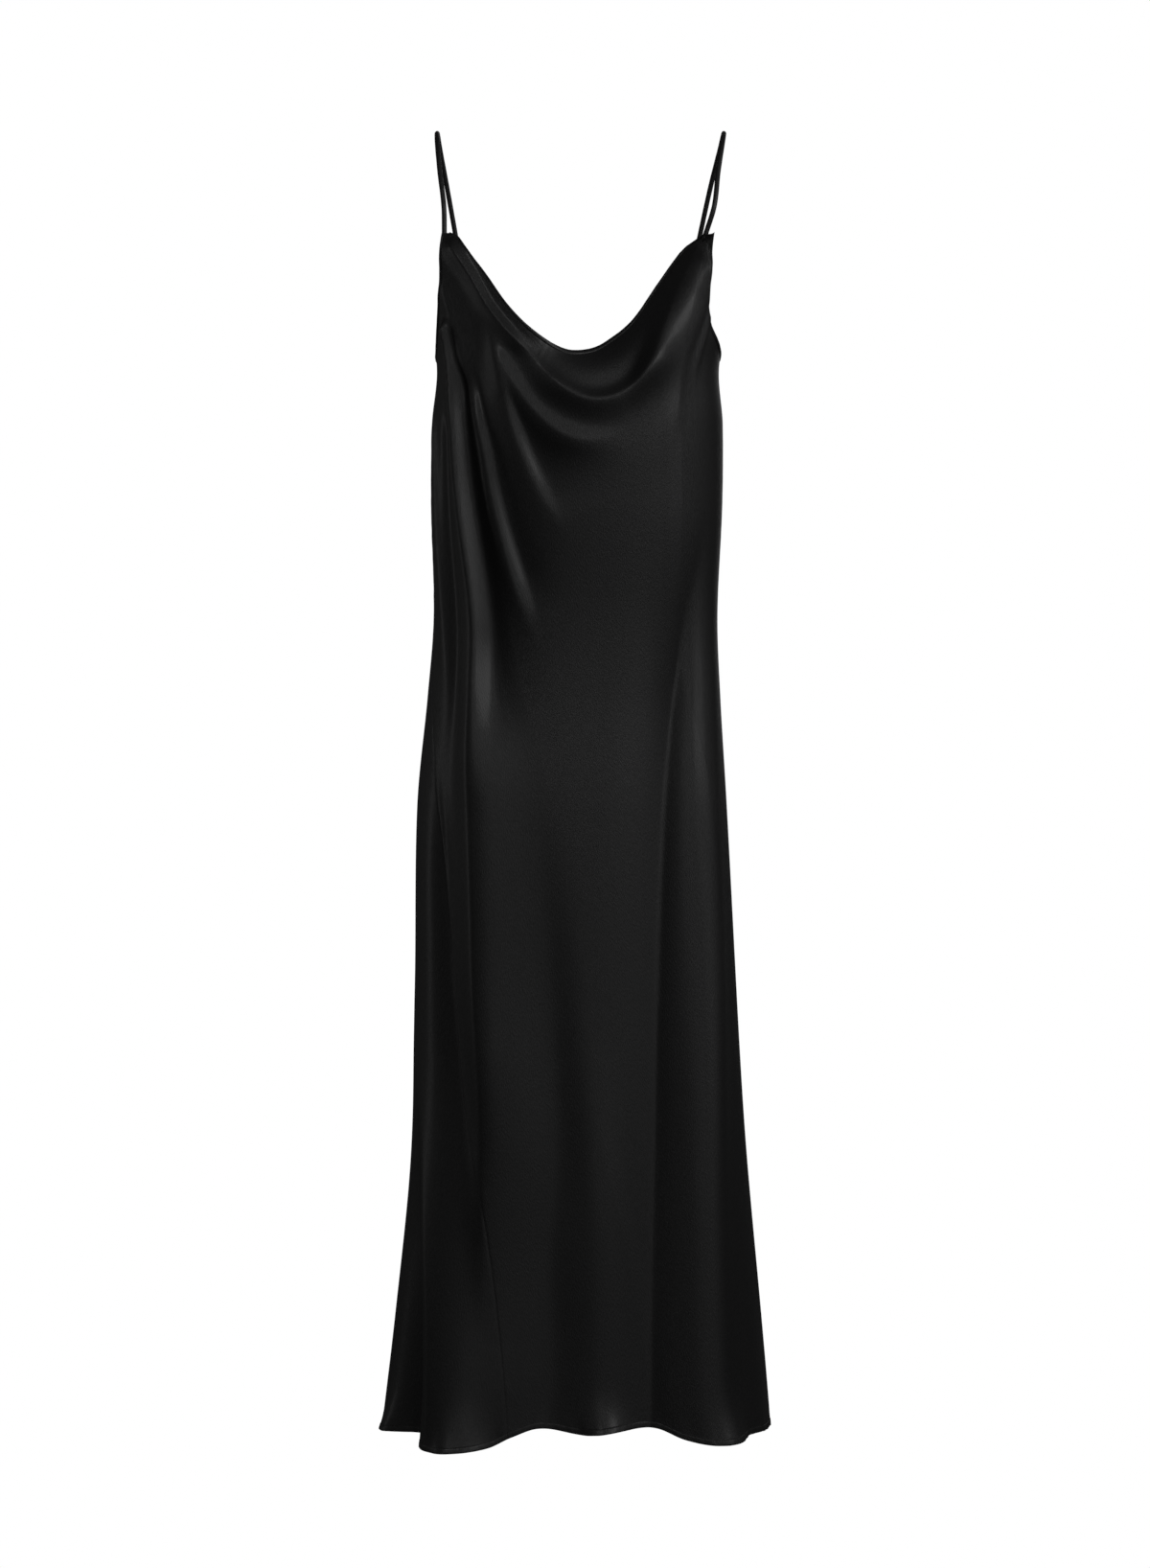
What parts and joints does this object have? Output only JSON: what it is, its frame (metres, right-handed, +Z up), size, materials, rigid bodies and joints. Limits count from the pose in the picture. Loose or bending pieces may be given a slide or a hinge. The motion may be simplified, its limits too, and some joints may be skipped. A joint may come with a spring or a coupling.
{
  "type": "slip dress",
  "caption": "Bias-cut satin midi slip dress with a draped cowl neck and thin rouleau straps, filled out with no wearer.",
  "frame": {"origin": "midway between the two places where the straps pass over the shoulders, at the underside of the straps", "axes": "+Z up, along the length of the dress; the front faces -Y; +X is to the right of someone who faces the front"},
  "size_m": [0.3914, 0.2809, 1.3011],
  "materials": {
    "satin": "black charmeuse satin, soft sheen on the face",
    "rouleau": "the same black satin, cut on the bias, turned through and pressed"
  },
  "bodies": {
    "root": {"front": "satin", "back": "satin", "strap_left": "rouleau", "strap_right": "rouleau", "armhole_binding_left": "rouleau", "armhole_binding_right": "rouleau", "back_neck_binding": "rouleau"}
  },
  "joints": []
}
